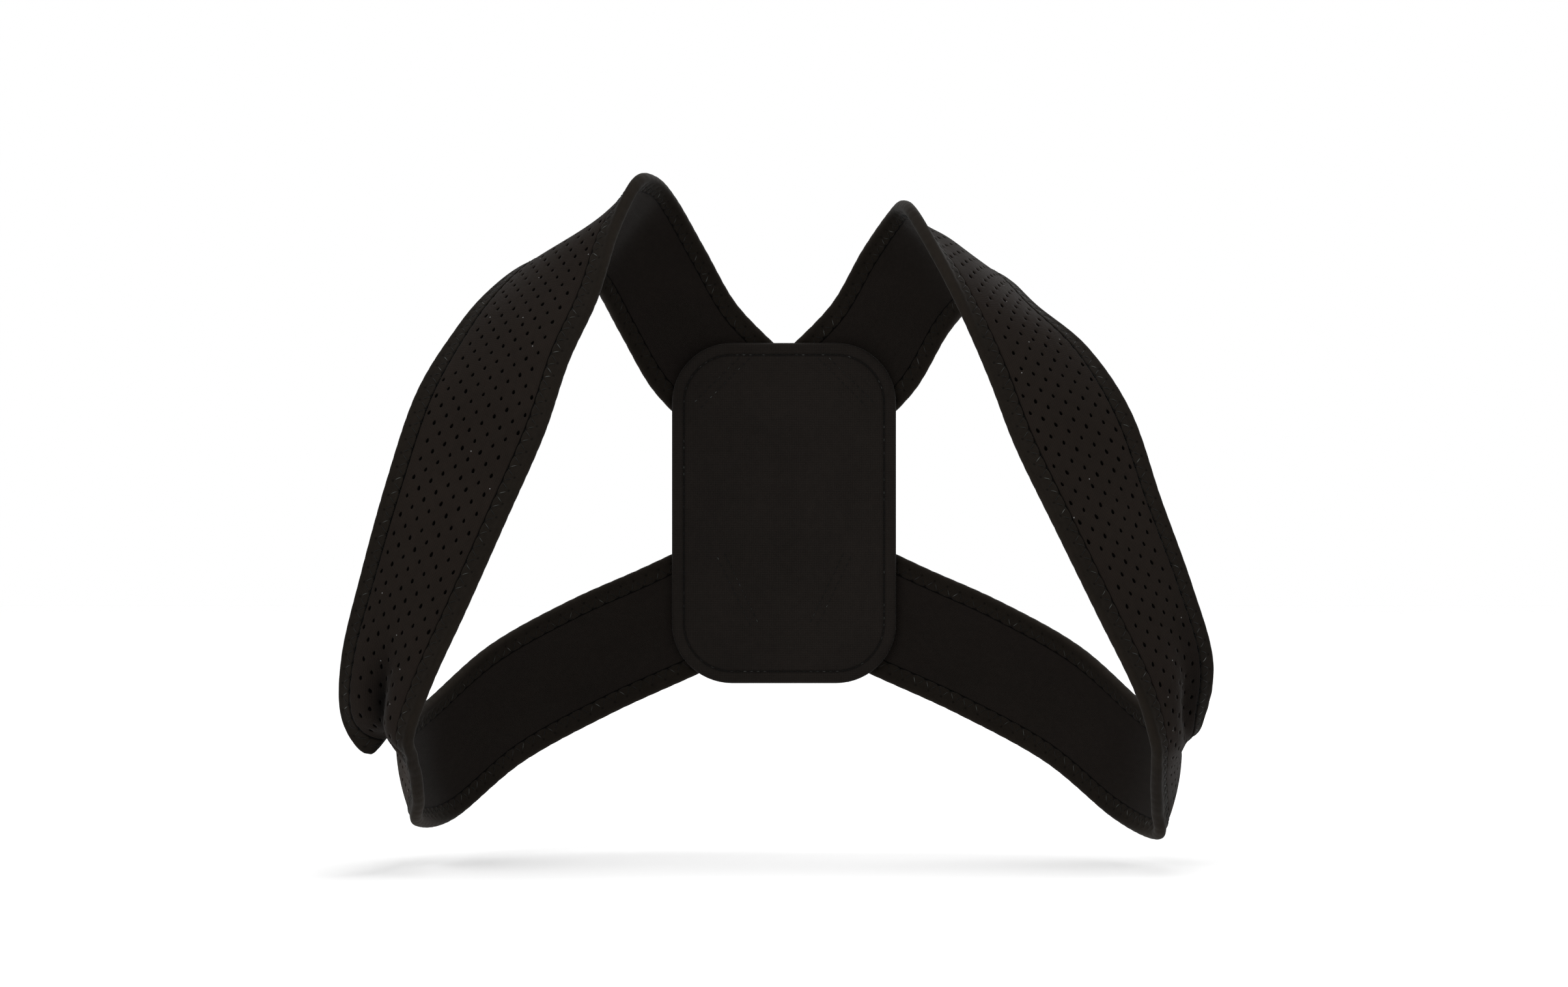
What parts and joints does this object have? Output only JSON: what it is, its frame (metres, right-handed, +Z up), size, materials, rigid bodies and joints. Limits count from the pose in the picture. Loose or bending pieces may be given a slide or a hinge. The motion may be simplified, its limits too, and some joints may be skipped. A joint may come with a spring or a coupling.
{
  "type": "posture corrector",
  "caption": "Black posture brace of perforated foam straps with bound edges that loop over the shoulders and under the arms to a flat back panel, in its worn form.",
  "frame": {"origin": "on the wearer's midline at the base of the neck, level with the crest of the shoulders where the straps sit", "axes": "+X to the wearer's left, +Y to the wearer's back, +Z up"},
  "size_m": [0.4117, 0.217, 0.3222],
  "materials": {
    "perforated_foam": "matt black knit face on perforated foam",
    "binding_tape": "matt black folded tape, zigzag sewn",
    "panel_fabric": "matt black knit face on foam"
  },
  "bodies": {
    "root": {"strap_right": "perforated_foam", "strap_left": "perforated_foam", "binding_right_inner": "binding_tape", "binding_right_outer": "binding_tape", "binding_left_inner": "binding_tape", "binding_left_outer": "binding_tape", "back_panel": "panel_fabric"}
  },
  "joints": []
}
